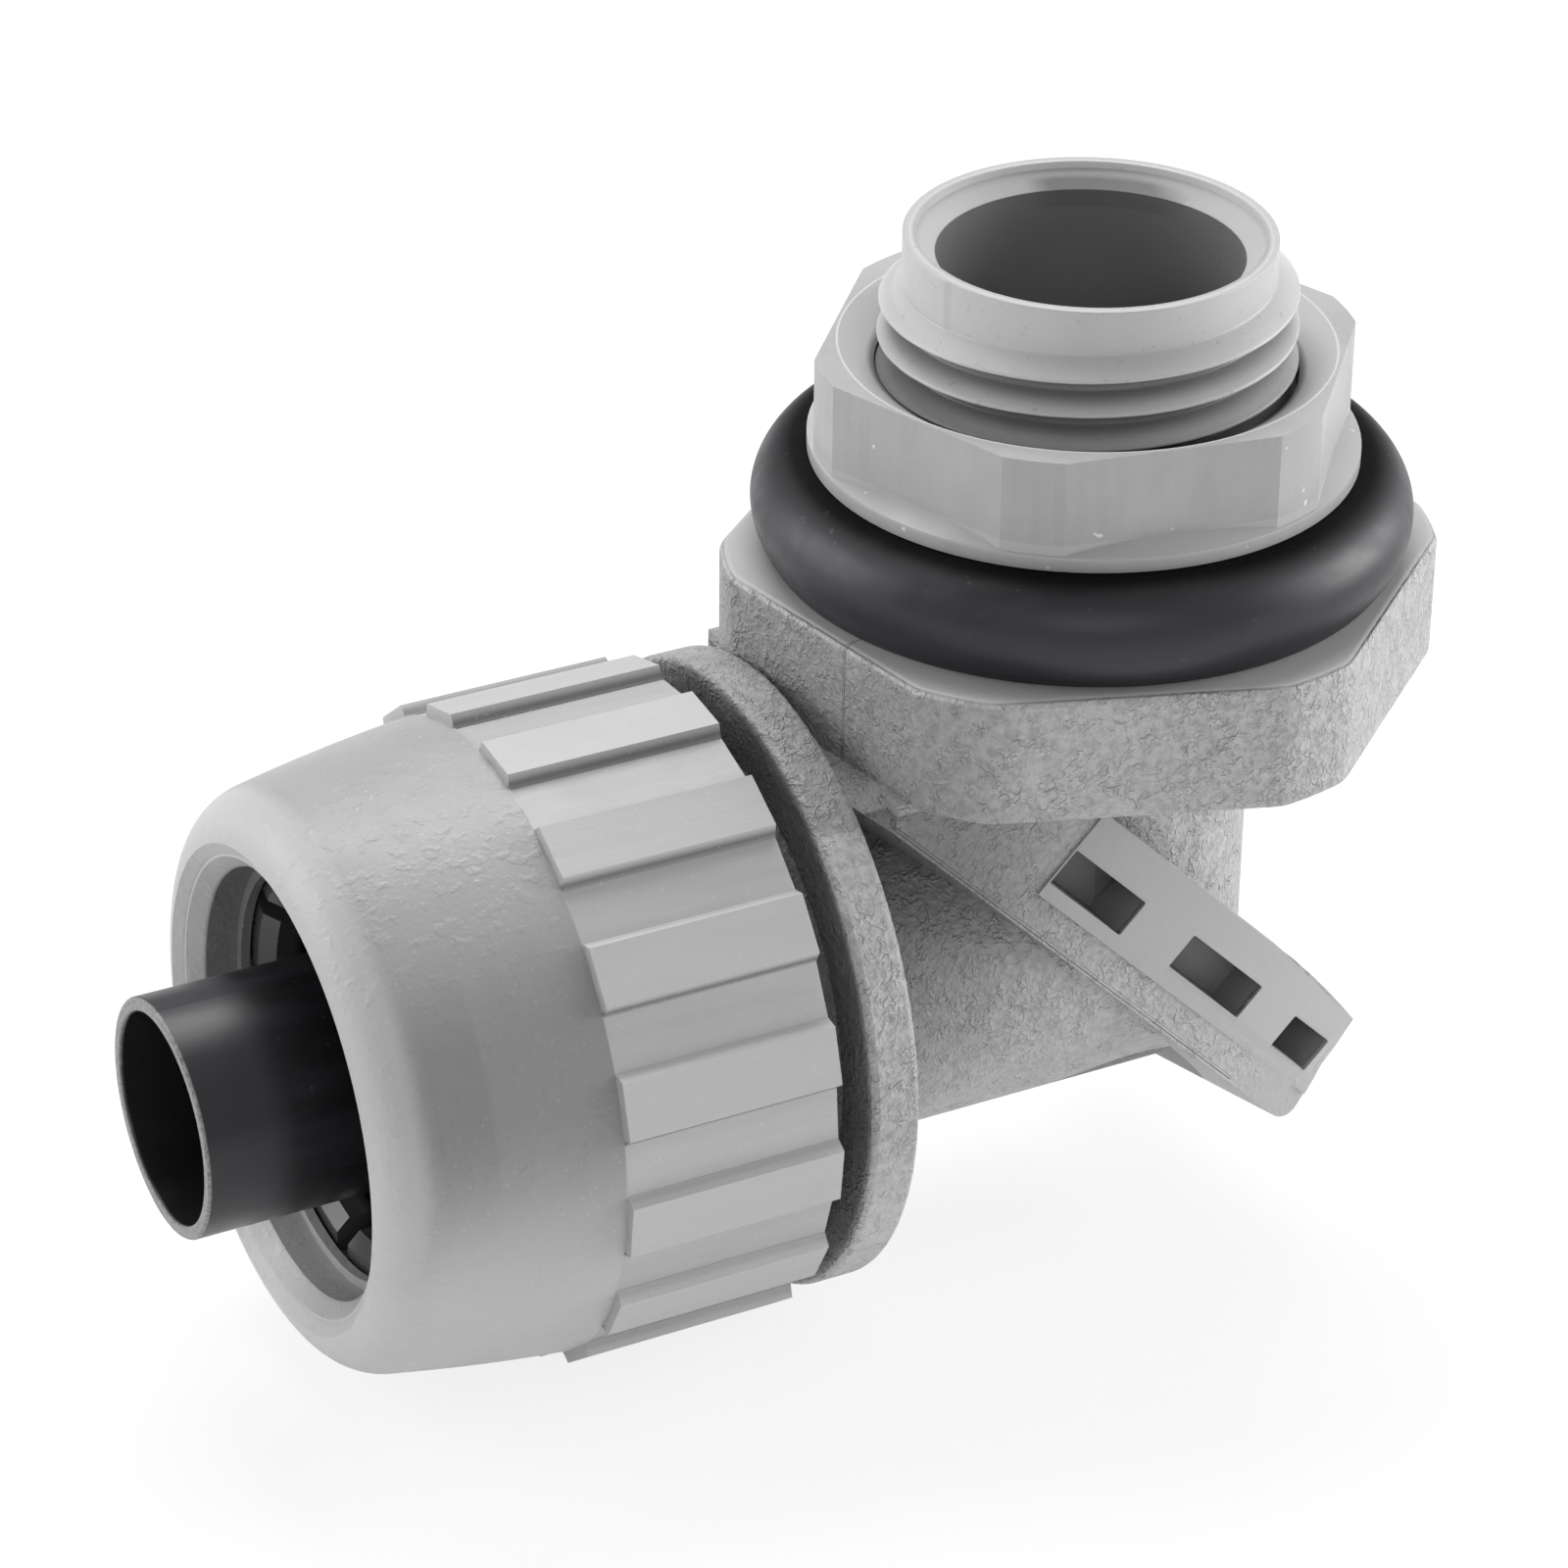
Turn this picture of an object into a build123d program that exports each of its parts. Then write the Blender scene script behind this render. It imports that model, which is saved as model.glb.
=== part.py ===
from build123d import *
import os

os.makedirs("parts", exist_ok=True)

# Ninety degree nonmetallic liquidtight connector, 3/8 conduit to a 1/2 NPT hub.
# Millimetres. The origin is on the hub axis at the sealing face of the flange,
# +Z runs up the hub and the conduit enters from -X.

# Elbow: the conduit axis lies this far below the sealing face
DROP = 20.4
BARREL_R = 10.06
RISER_R = 9.16

# Collar and threaded neck on the conduit side, positions along X
COLLAR_R = 16.65
COLLAR_BACK_X = -17.8
COLLAR_FRONT_X = -20.4
COLLAR_EDGE = 0.35
NECK_R = 14.0
RELIEF_R = 13.3
NECK_THREAD_X = -23.4
NECK_FRONT_X = -32.5
NECK_CHAMFER = 0.7
SOCKET_R = 9.6
SOCKET_FLOOR_X = -21.4
SOCKET_LEAD_R = 11.2
SOCKET_LEAD = 2.0
PASSAGE_R = 6.9

# Flange
FLANGE_H = 6.9
FLANGE_APOTHEM = 16.85
FLANGE_CORNER_OUT = 1.55
FLANGE_CORNER_R = FLANGE_APOTHEM + FLANGE_CORNER_OUT
FLANGE_CORNER_ROUND = 2.5
FLANGE_EDGE = 0.45
FLANGE_CORNER_ANGLE = 40.6

# Hub above the sealing face
SHANK_R = 10.6
SHANK_H = 8.0
CORE_R = 9.3
HUB_H = 17.0
HUB_BORE_R = 7.75
HUB_BORE_LOW_R = 7.3
BELL_R = 9.1
BELL_DEPTH = 1.1

# Mitre rib: u runs along the mitre toward the heel, v across it
RIB_HALF_W = 10.3
RIB_LOW = -2.6
RIB_LOW_MIDDLE = -4.6
RIB_HIGH = 4.58
RIB_HIGH_MIDDLE = 4.1
RIB_START = -23.4
HEEL_LOW = 13.7
HEEL_HIGH = 12.7
HEEL_TOP = 4.0
HEEL_CROWN = 5.5
HEEL_LOW_ROUND = 0.9
PAD_RISE = 0.15
PAD_START = -10.4
PAD_LOW = -0.7
PAD_MARGIN = 0.35

# Cored windows in the rib: start and end along u, low and high along v, depth
WINDOW_CORNER = 0.12
WINDOWS = [
    (-10.3, -4.3, 0.1, 2.25, 3.0),
    (-0.25, 5.9, 0.35, 2.45, 2.4),
    (9.1, 12.2, 0.25, 2.3, 5.0),
]

# Conduit nut
NUT_BACK_X = -22.3
GRIP_FRONT_X = -33.8
DOME_R = 16.5
DOME_MIDDLE_X = -38.2
DOME_MIDDLE_R = 15.97
NOSE_X = (-42.96, -44.72, -45.57)
NOSE_R = (15.18, 14.32, 12.62)
FACE_STEP_R = 12.0
FACE_STEP_X = -45.12
MOUTH_R = 11.13
MOUTH_LIP_X = -44.3
MOUTH_BACK_X = -42.6
SHOULDER_R = 10.6
NUT_FIT = 0.1
NUT_THREAD_END_X = NECK_FRONT_X - 1.7
GRIPS = 16
GRIP_R = 17.05
GRIP_WIDTH = 3.3
GRIP_DRAFT = 0.15
GRIP_ANGLE = 16.2
LAND_APOTHEM = 16.38
LAND_CORNER_ANGLE = GRIP_ANGLE - 90 / GRIPS

# Grip ring
FINGERS = 12
RING_BACK_X = NECK_FRONT_X - 1.8
RING_ROOT_X = RING_BACK_X - 1.6
RING_TIP_X = -41.9
RING_BORE_R = 9.3
RING_R = 12.75
RING_TIP_R = 11.15
RING_LEAD = 0.7
RING_FIT = 0.12
SLOT_W = 1.3

# Ferrule
FERRULE_R = 6.18
FERRULE_WALL = 0.75
FERRULE_TIP_X = -51.33
FERRULE_RIM_H = 1.2
FERRULE_FIT = 0.08

# Sealing ring and locknut on the hub
SEAL_H = 5.2
SEAL_OUTER_R = 16.84
SEAL_INNER_R = 11.6
SEAL_FOOT_R = 15.9
SEAT = 0.05
LOCKNUT_H = 5.8
LOCKNUT_BASE_R = 14.0
LOCKNUT_BASE_H = 0.75
LOCKNUT_LEDGE_RISE = 0.6
LOCKNUT_APOTHEM = 12.75
LOCKNUT_CORNER_R = 13.9
LOCKNUT_CORNER_ANGLE = 49.4
LOCKNUT_FIT = 0.08
DISH_R = 12.5
DISH_DEPTH = 1.2
LOCKNUT_Z = SEAL_H + 2 * SEAT

# Planes and axes of the elbow
CONDUIT_AXIS = Axis((0, 0, -DROP), (1, 0, 0))
MITRE_DOWN = Axis((0, 0, -DROP), (1, 0, -1))
CONDUIT_PLANE = Plane(origin=(0, 0, -DROP), x_dir=(1, 0, 0), z_dir=(0, -1, 0))
MITRE = Plane(origin=(0, 0, -DROP), x_dir=(1, 0, -1), z_dir=(1, 0, 1))
RIB_SIDE = Plane(origin=(0, 0, -DROP), x_dir=(1, 0, -1), z_dir=(0, -1, 0))
RIB_SECTION = Plane(origin=(0, 0, -DROP), x_dir=(0, 1, 0), z_dir=(1, 0, -1))
END_VIEW = Plane(origin=(0, 0, -DROP), x_dir=(0, -1, 0), z_dir=(-1, 0, 0))
HEEL = Plane(origin=RIB_SIDE.from_local_coords((HEEL_LOW, RIB_LOW)), x_dir=(0, 1, 0), z_dir=(4, 0, -3))


# Conduit barrel up to the mitre plane, with its collar and threaded neck
with BuildPart() as conduit_side:
    with BuildSketch(CONDUIT_PLANE):
        Polygon(
            (16, 0),
            (16, BARREL_R),
            (COLLAR_BACK_X, BARREL_R),
            (COLLAR_BACK_X, COLLAR_R),
            (COLLAR_FRONT_X, COLLAR_R),
            (COLLAR_FRONT_X, RELIEF_R),
            (NECK_THREAD_X + NECK_CHAMFER, RELIEF_R),
            (NECK_THREAD_X, NECK_R),
            (NECK_FRONT_X + NECK_CHAMFER, NECK_R),
            (NECK_FRONT_X, RELIEF_R),
            (NECK_FRONT_X, 0),
            align=None,
        )
    revolve(axis=CONDUIT_AXIS)
    collar_rims = conduit_side.edges().filter_by(GeomType.CIRCLE)
    fillet(collar_rims.filter_by(lambda e: abs(e.radius - COLLAR_R) < 0.01), COLLAR_EDGE)
    split(bisect_by=MITRE, keep=Keep.BOTTOM)

# Riser from the mitre plane up into the flange
with BuildPart() as riser:
    with BuildSketch(Plane.XY.offset(-DROP - 12)):
        Circle(RISER_R)
    extrude(amount=DROP + 12 - FLANGE_H / 2)
    split(bisect_by=MITRE, keep=Keep.TOP)

# Side outline of the rib seen along Y, falling in a flat arc to the heel
with BuildSketch(RIB_SIDE) as rib_outline:
    with BuildLine():
        Polyline(
            (HEEL_CROWN, RIB_HIGH),
            (RIB_START, RIB_HIGH),
            (RIB_START, RIB_LOW_MIDDLE - 2),
            (HEEL_LOW, RIB_LOW_MIDDLE - 2),
            (HEEL_LOW, RIB_LOW),
            (HEEL_HIGH, HEEL_TOP),
        )
        TangentArc((HEEL_CROWN, RIB_HIGH), (HEEL_HIGH, HEEL_TOP), tangent=(1, 0))
    make_face()

# Rib: drafted cross section with a sunk top run along the mitre, trimmed to its outline
with BuildPart() as rib:
    with BuildSketch(RIB_SECTION.offset(RIB_START)):
        Polygon(
            (-RIB_HALF_W, RIB_LOW),
            (0, RIB_LOW_MIDDLE),
            (RIB_HALF_W, RIB_LOW),
            (RIB_HALF_W, RIB_HIGH),
            (0, RIB_HIGH_MIDDLE),
            (-RIB_HALF_W, RIB_HIGH),
            align=None,
        )
    extrude(amount=HEEL_LOW - RIB_START + 2)
    extrude(rib_outline.sketch, amount=RIB_HALF_W + 1, both=True, mode=Mode.INTERSECT)
    fillet(rib.edges().group_by(MITRE_DOWN)[-1], HEEL_LOW_ROUND)
    split(bisect_by=Plane.XY.offset(-FLANGE_H + FLANGE_EDGE), keep=Keep.BOTTOM)
    # Where it runs into the collar it stays inside the collar's edge
    with BuildSketch(CONDUIT_PLANE):
        Polygon(
            (COLLAR_FRONT_X, COLLAR_R - COLLAR_EDGE),
            (COLLAR_FRONT_X, COLLAR_R + 5),
            (COLLAR_BACK_X + 1.8, COLLAR_R + 5),
            (COLLAR_BACK_X + 1.8, COLLAR_R - COLLAR_EDGE),
            align=None,
        )
    revolve(axis=CONDUIT_AXIS, mode=Mode.SUBTRACT)

# Flange with rounded corners, turned as it left the mould
with BuildPart() as flange:
    with BuildSketch(Plane.XY.offset(-FLANGE_H)) as flange_outline:
        Circle(FLANGE_CORNER_R)
        RegularPolygon(FLANGE_APOTHEM, 6, major_radius=False, rotation=FLANGE_CORNER_ANGLE,
                       mode=Mode.INTERSECT)
        fillet(flange_outline.vertices(), FLANGE_CORNER_ROUND)
    extrude(amount=FLANGE_H)
    fillet(flange.edges().filter_by(Axis.Z, reverse=True), FLANGE_EDGE)

# Core from the hub side: drafted bore with a bell at the hub end
with BuildPart() as hub_core:
    with BuildSketch(Plane.XZ):
        Polygon(
            (0, -DROP - 12),
            (HUB_BORE_LOW_R, -DROP - 12),
            (HUB_BORE_LOW_R, -DROP),
            (HUB_BORE_R, HUB_H - BELL_DEPTH),
            (BELL_R, HUB_H),
            (BELL_R, HUB_H + 1),
            (0, HUB_H + 1),
            align=None,
        )
    revolve(axis=Axis.Z)
    split(bisect_by=MITRE, keep=Keep.TOP)

# Core from the conduit side: passage, ferrule seat and conduit socket
with BuildPart() as conduit_core:
    with BuildSketch(CONDUIT_PLANE):
        Polygon(
            (12, 0),
            (12, PASSAGE_R),
            (SOCKET_FLOOR_X, PASSAGE_R),
            (SOCKET_FLOOR_X, SOCKET_R),
            (NECK_FRONT_X + SOCKET_LEAD, SOCKET_R),
            (NECK_FRONT_X, SOCKET_LEAD_R),
            (NECK_FRONT_X - 1, SOCKET_LEAD_R),
            (NECK_FRONT_X - 1, 0),
            align=None,
        )
    revolve(axis=CONDUIT_AXIS)
    split(bisect_by=MITRE, keep=Keep.BOTTOM)

# Elbow body: one moulding of both sides, rib, flange and hub with its passage
with BuildPart() as elbow_body:
    add(conduit_side.part)
    add(riser.part)
    add(rib.part)
    add(flange.part)
    with BuildSketch(Plane.XY.offset(-FLANGE_H / 2)):
        Circle(SHANK_R)
    extrude(amount=FLANGE_H / 2 + SHANK_H)
    with BuildSketch(Plane.XY):
        Circle(CORE_R)
    extrude(amount=HUB_H)
    # Trim the barrel end that would stand out past the heel of the rib
    split(bisect_by=HEEL, keep=Keep.BOTTOM)
    # Smooth pads standing a little above the textured sides of the rib
    for side in (1, -1):
        with BuildSketch(RIB_SIDE.offset(side * (RIB_HALF_W - 1))):
            Polygon(
                (PAD_START, PAD_LOW),
                (HEEL_LOW - PAD_MARGIN, PAD_LOW),
                (HEEL_HIGH - PAD_MARGIN, HEEL_TOP),
                (HEEL_CROWN, RIB_HIGH),
                (PAD_START, RIB_HIGH),
                align=None,
            )
        extrude(amount=side * (1 + PAD_RISE))
    # Cored windows from both sides
    for side in (1, -1):
        for start, end, low, high, depth in WINDOWS:
            with BuildSketch(RIB_SIDE.offset(side * (RIB_HALF_W - depth))):
                with Locations(((start + end) / 2, (low + high) / 2)):
                    RectangleRounded(end - start, high - low, WINDOW_CORNER)
            extrude(amount=side * (depth + 1), mode=Mode.SUBTRACT)
    add(hub_core.part, mode=Mode.SUBTRACT)
    add(conduit_core.part, mode=Mode.SUBTRACT)

# Ferrule: thin tube with a rim that sits on the socket floor
with BuildPart() as ferrule:
    with BuildSketch(CONDUIT_PLANE):
        Polygon(
            (FERRULE_TIP_X, FERRULE_R - FERRULE_WALL),
            (FERRULE_TIP_X, FERRULE_R),
            (SOCKET_FLOOR_X - FERRULE_RIM_H, FERRULE_R),
            (SOCKET_FLOOR_X - FERRULE_RIM_H, SOCKET_R - FERRULE_FIT),
            (SOCKET_FLOOR_X, SOCKET_R - FERRULE_FIT),
            (SOCKET_FLOOR_X, FERRULE_R - FERRULE_WALL),
            align=None,
        )
    revolve(axis=CONDUIT_AXIS)
    tip_rims = ferrule.edges().filter_by(GeomType.CIRCLE).group_by(Axis.X)[0]
    fillet(tip_rims, 0.2)

# Conduit nut: grip zone behind, dome and rounded mouth in front
with BuildPart() as conduit_nut:
    with BuildSketch(CONDUIT_PLANE):
        with BuildLine():
            dome = Spline(
                (GRIP_FRONT_X, DOME_R),
                (DOME_MIDDLE_X, DOME_MIDDLE_R),
                (NOSE_X[0], NOSE_R[0]),
            )
            nose = ThreePointArc(
                (NOSE_X[0], NOSE_R[0]),
                (NOSE_X[1], NOSE_R[1]),
                (NOSE_X[2], NOSE_R[2]),
            )
            Polyline(
                nose @ 1,
                (FACE_STEP_X, FACE_STEP_R),
                (FACE_STEP_X, FACE_STEP_R - 0.15),
                (MOUTH_LIP_X, MOUTH_R),
                (MOUTH_BACK_X, MOUTH_R),
                (MOUTH_BACK_X, SHOULDER_R),
                (RING_TIP_X - 0.2, SHOULDER_R),
                (RING_TIP_X - 0.2, RING_TIP_R + RING_FIT),
                (RING_ROOT_X, RING_R + RING_FIT),
                (NUT_THREAD_END_X - 0.8, RING_R + RING_FIT),
                (NUT_THREAD_END_X, NECK_R + NUT_FIT),
                (NUT_BACK_X, NECK_R + NUT_FIT),
                (NUT_BACK_X, LAND_APOTHEM - 1),
                (GRIP_FRONT_X, LAND_APOTHEM - 1),
                (GRIP_FRONT_X, DOME_R),
            )
        make_face()
    revolve(axis=CONDUIT_AXIS)
    # Flat lands all round the grip zone
    with BuildSketch(END_VIEW.offset(-NUT_BACK_X)):
        RegularPolygon(LAND_APOTHEM, 2 * GRIPS, major_radius=False, rotation=LAND_CORNER_ANGLE)
        Circle(LAND_APOTHEM - 1.5, mode=Mode.SUBTRACT)
    extrude(amount=NUT_BACK_X - GRIP_FRONT_X + 0.2)
    # Raised grips, every second land
    with BuildSketch(END_VIEW.offset(-NUT_BACK_X)):
        with PolarLocations(0, GRIPS, start_angle=GRIP_ANGLE):
            Polygon(
                (LAND_APOTHEM - 1, -GRIP_WIDTH / 2 - GRIP_DRAFT),
                (LAND_APOTHEM, -GRIP_WIDTH / 2 - GRIP_DRAFT),
                (GRIP_R, -GRIP_WIDTH / 2 + GRIP_DRAFT),
                (GRIP_R, GRIP_WIDTH / 2 - GRIP_DRAFT),
                (LAND_APOTHEM, GRIP_WIDTH / 2 + GRIP_DRAFT),
                (LAND_APOTHEM - 1, GRIP_WIDTH / 2 + GRIP_DRAFT),
                align=None,
            )
    extrude(amount=NUT_BACK_X - GRIP_FRONT_X)

# Grip ring: solid band behind, tapering fingers in front
with BuildPart() as grip_ring:
    with BuildSketch(CONDUIT_PLANE):
        Polygon(
            (RING_BACK_X, RING_BORE_R),
            (RING_BACK_X, RING_R),
            (RING_ROOT_X, RING_R),
            (RING_TIP_X, RING_TIP_R),
            (RING_TIP_X, RING_BORE_R + RING_LEAD),
            (RING_TIP_X + RING_LEAD, RING_BORE_R),
            align=None,
        )
    revolve(axis=CONDUIT_AXIS)
    with BuildSketch(END_VIEW.offset(-RING_ROOT_X)):
        with PolarLocations(RING_R, FINGERS):
            Rectangle(2 * (RING_R - RING_BORE_R) + 2, SLOT_W)
    extrude(amount=RING_ROOT_X - RING_TIP_X + 1, mode=Mode.SUBTRACT)

# Sealing ring resting on the flange: flat foot, rounded shoulder and top
with BuildPart() as sealing_ring:
    with BuildSketch(Plane.XZ):
        with BuildLine():
            shoulder = Spline(
                (SEAL_FOOT_R, SEAT),
                (SEAL_OUTER_R - 0.28, SEAT + 0.22 * SEAL_H),
                (SEAL_OUTER_R, SEAT + 0.48 * SEAL_H),
                (SEAL_OUTER_R - 0.55, SEAT + 0.78 * SEAL_H),
                (SEAL_OUTER_R - 2.3, SEAT + SEAL_H),
            )
            Polyline(
                shoulder @ 1,
                (SEAL_INNER_R + 1.2, SEAT + SEAL_H),
                (SEAL_INNER_R, SEAT + SEAL_H - 1.2),
                (SEAL_INNER_R, SEAT + 0.4),
                (SEAL_INNER_R + 0.4, SEAT),
                (SEAL_FOOT_R, SEAT),
            )
        make_face()
    revolve(axis=Axis.Z)

# Locknut: hexagon with turned corners on a thin round base, dished top
with BuildPart() as locknut:
    with BuildSketch(Plane.XY.offset(LOCKNUT_Z)):
        Circle(LOCKNUT_CORNER_R)
        RegularPolygon(LOCKNUT_APOTHEM, 6, major_radius=False, rotation=LOCKNUT_CORNER_ANGLE,
                       mode=Mode.INTERSECT)
    extrude(amount=LOCKNUT_H)
    with BuildSketch(Plane.XZ):
        Polygon(
            (SHANK_R, LOCKNUT_Z),
            (LOCKNUT_BASE_R, LOCKNUT_Z),
            (LOCKNUT_BASE_R, LOCKNUT_Z + LOCKNUT_BASE_H),
            (LOCKNUT_APOTHEM - 0.1, LOCKNUT_Z + LOCKNUT_BASE_H + LOCKNUT_LEDGE_RISE),
            (SHANK_R, LOCKNUT_Z + LOCKNUT_BASE_H + LOCKNUT_LEDGE_RISE),
            align=None,
        )
    revolve(axis=Axis.Z)
    with BuildSketch(Plane.XZ):
        Polygon(
            (0, LOCKNUT_Z - 1),
            (SHANK_R + LOCKNUT_FIT, LOCKNUT_Z - 1),
            (SHANK_R + LOCKNUT_FIT, LOCKNUT_Z + LOCKNUT_H - DISH_DEPTH),
            (DISH_R, LOCKNUT_Z + LOCKNUT_H),
            (DISH_R, LOCKNUT_Z + LOCKNUT_H + 1),
            (0, LOCKNUT_Z + LOCKNUT_H + 1),
            align=None,
        )
    revolve(axis=Axis.Z, mode=Mode.SUBTRACT)

elbow_body.part.label = "elbow_body"
ferrule.part.label = "ferrule"
conduit_nut.part.label = "conduit_nut"
grip_ring.part.label = "grip_ring"
sealing_ring.part.label = "sealing_ring"
locknut.part.label = "locknut"

export_step(elbow_body.part, "parts/elbow_body.step")
export_step(ferrule.part, "parts/ferrule.step")
export_step(conduit_nut.part, "parts/conduit_nut.step")
export_step(grip_ring.part, "parts/grip_ring.step")
export_step(sealing_ring.part, "parts/sealing_ring.step")
export_step(locknut.part, "parts/locknut.step")
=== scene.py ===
import math
import bpy
import bmesh
from mathutils import Matrix, Vector


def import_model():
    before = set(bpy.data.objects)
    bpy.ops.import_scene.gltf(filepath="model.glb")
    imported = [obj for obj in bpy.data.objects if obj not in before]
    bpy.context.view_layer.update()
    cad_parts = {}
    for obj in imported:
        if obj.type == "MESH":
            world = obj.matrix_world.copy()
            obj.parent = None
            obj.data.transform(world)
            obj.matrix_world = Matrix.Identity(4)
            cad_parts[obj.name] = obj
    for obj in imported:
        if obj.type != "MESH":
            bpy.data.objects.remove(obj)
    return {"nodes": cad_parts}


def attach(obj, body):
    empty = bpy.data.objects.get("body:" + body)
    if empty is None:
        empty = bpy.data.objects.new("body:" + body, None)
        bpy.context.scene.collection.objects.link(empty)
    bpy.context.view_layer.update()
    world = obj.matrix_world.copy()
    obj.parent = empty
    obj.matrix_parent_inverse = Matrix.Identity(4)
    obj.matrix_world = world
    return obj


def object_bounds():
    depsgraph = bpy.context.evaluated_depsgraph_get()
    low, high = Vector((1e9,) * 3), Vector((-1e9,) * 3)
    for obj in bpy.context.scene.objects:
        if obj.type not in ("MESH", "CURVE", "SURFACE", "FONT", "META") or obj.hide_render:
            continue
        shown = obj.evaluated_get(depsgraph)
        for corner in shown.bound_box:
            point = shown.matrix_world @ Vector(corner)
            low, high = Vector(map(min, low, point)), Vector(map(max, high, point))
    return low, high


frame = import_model()
nodes = frame["nodes"]
cad_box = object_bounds()

# Sizes are metres in the row frame: the hub's axis is Z and the flange's sealing face lies at Z 0.
# The conduit's axis runs along X, this far below the face.
DROP = 0.0204
DIAGONAL = math.sqrt(0.5)

# Elbow body: the flange, the collar, the neck behind the nut, both bores
FLANGE_LOW = -0.0072
FLANGE_TOP = -0.0001
FLANGE_INNER_R = 0.0150
LEFT_FLATS_X = (-0.0100, -0.0150)
LEFT_FLATS_TOP = -0.0003
COLLAR_FACE_X = -0.02037
COLLAR_BACK_X = -0.0174
COLLAR_RIM_R = (0.0159, 0.01655)
NECK_X = -0.02043
NECK_R = 0.0128
BORE_R = 0.00778
BORE_TOP = 0.01591
PASSAGE_R = 0.0097
PASSAGE_END_X = -0.006

# The mitre rib's pads, windows and seam. A place on it is measured along the mitre plane and across it.
PAD_SIDE = 0.01037
PAD_LEFT_X = -0.0135
WINDOWS_ALONG = ((-0.01035, -0.00425), (-0.0003, 0.00595), (0.00905, 0.01225))
WINDOW_ACROSS = (0.00008, 0.00248)
WINDOW_SIDE = (0.0050, 0.01030)
SEAM_ACROSS = (-0.00243, -0.00229)
SEAM_END = 0.0085
SEAM_SIDE = 0.01022
SEAM_LEFT_X = -0.0165
HEEL_SMOOTH = (0.0070, 0.0115)
# Along the mitre plane the pads go from painted shade near the flange to pale at the heel
PAD_SHADE_ALONG = (-0.0100, 0.0120)

# Marks on the elbow: the parting line and its direction, painted shade in the crotch, painted light on the
# underside, painted shade in the hub's bell
PARTING_X = 0.292
PARTING_Y = -0.956
PARTING_HALF = 0.00007
PARTING_R = 0.0155
PARTING_LOW = -0.0069
CROTCH_X = -0.0168
CROTCH_Z = -0.0125
CROTCH_REACH = (0.0020, 0.0160)
CROTCH_TOP = -0.0070
CROTCH_LEFT_X = -0.01775
UNDERSIDE_LIGHT_Z = (-0.0205, -0.0295)
BELL_SHADE_X = 0.0042
BELL_SHADE_HALF = 0.0028
BELL_SHADE_Y = 0.003
BELL_SHADE_R = (0.0076, 0.00832)
BELL_SHADE_LOW = 0.0150

# Conduit nut: its grips, the dome, the line turned round the nose, the mouth and the mark on one land.
# Angles are degrees about the conduit's axis, and a grip's edges lie off its middle.
GRIPS = 16
GRIP_PHASE = 16.2
GRIPS_END_X = -0.03385
GRIP_TOP_R = 0.01680
GRIP_FOOT_R = 0.0161
GRIP_LOW_EDGE = (-6.3, -5.5)
GRIP_HIGH_EDGE = (5.6, 6.3)
# Painted shade across the middle of the dome, painted light below it and a painted highlight at the nose
DARK_BAND_ANGLE = 25.0
DARK_BAND_HALF = (6.0, 32.0)
DOME_LOW = (0.0022, -0.0060)
NOSE_X = -0.0434
BESIDE_NOSE_X = -0.0395
NOSE_HIGHLIGHT_X = -0.0436
NOSE_INNER_R = 0.0112
NOSE_LINE_R = (0.01192, 0.01208)
NOSE_LINE_X = -0.0446
MOUTH_R = 0.0113
MOUTH_X = -0.0444
MARK_X = -0.0300
MARK_ANGLE = -40.0
MARK_HALF_X = 0.00115
MARK_HALF_ANGLE = 2.4
MARK_LINE = (0.86, 1.08)
MARK_FOOT_R = 0.0155

# Locknut
DISH_R = 0.0126
DISH_LOW = 0.0098
DEEP_R = 0.01095
LEDGE_Z = (0.00590, 0.00662)
LEDGE_R = 0.01268

# Hub and the turns of its thread
HUB_TOP = 0.017
HUB_BORE_R = 0.0089
TURNS_TOP = 0.01370
ROOT_R = (0.00950, 0.01050)
HUB_DEEP_Z = (0.0096, 0.0112)
CAP_DROP = 0.00002
CORE_R = 0.0093
SKIN = 0.00004
PITCH = 0.001814
THREAD_LOW = 0.0068
THREAD_END = 0.01435
THREAD_FADE = 0.0005
TOP_CREST_R = 0.01036
TAPER = 1 / 32
FRONT_CREST = 0.01382
FRONT_ANGLE = math.radians(239)
CREST_HALF = 0.00006
UPPER_FLANK = 0.00080
LOWER_FLANK = 0.00062
THREAD_AROUND = 288
THREAD_LEVELS = 170
THREAD_WALL = 0.0006

# The lead-in stands a little proud past the parting line
STEP_ANGLE = math.radians(192.2)
STEP_REACH = 1.2
STEP_PROUD = 0.00009
STEP_Z = (0.0142, 0.0146)

# Heel of the mitre rib, along the mitre plane and across it
HEEL_HALF = 0.01031
HEEL_SLICES = 24
HEEL_CORNER = 0.0009
HEEL_CORNER_STEPS = 8
HEEL_START = 0.0060
HEEL_FLAT_END = 0.0095
HEEL_END = 0.01371
HEEL_LEAN = 6.6
HEEL_KNEE = -0.0026
HEEL_TOP = 0.0003
HEEL_LOW = -0.00461
HEEL_DRAFT = 0.0020 / 0.0103
HEEL_KNEE_GAP = 0.00002

# Ferrule, grip ring and sealing ring
TIP_X = -0.05119
TIP_OUTSIDE_X = -0.0472
TIP_INSIDE_R = 0.00548
FINGERS_X = -0.0400
SEAL_LIP_Z = (0.00005, 0.00030)
SEAL_LIP_R = 0.0155
SEAL_OUTER_R = (0.0150, 0.0164)
SEAL_TOP_R = (0.0162, 0.0146)

# Colours shared by several materials, in linear values
PALE = (0.520, 0.522, 0.524)
SHADE = (0.075, 0.076, 0.078)
BLACK = (0.0045, 0.0046, 0.0060)
BLACK_HIGH = (0.0100, 0.0104, 0.0130)

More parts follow.
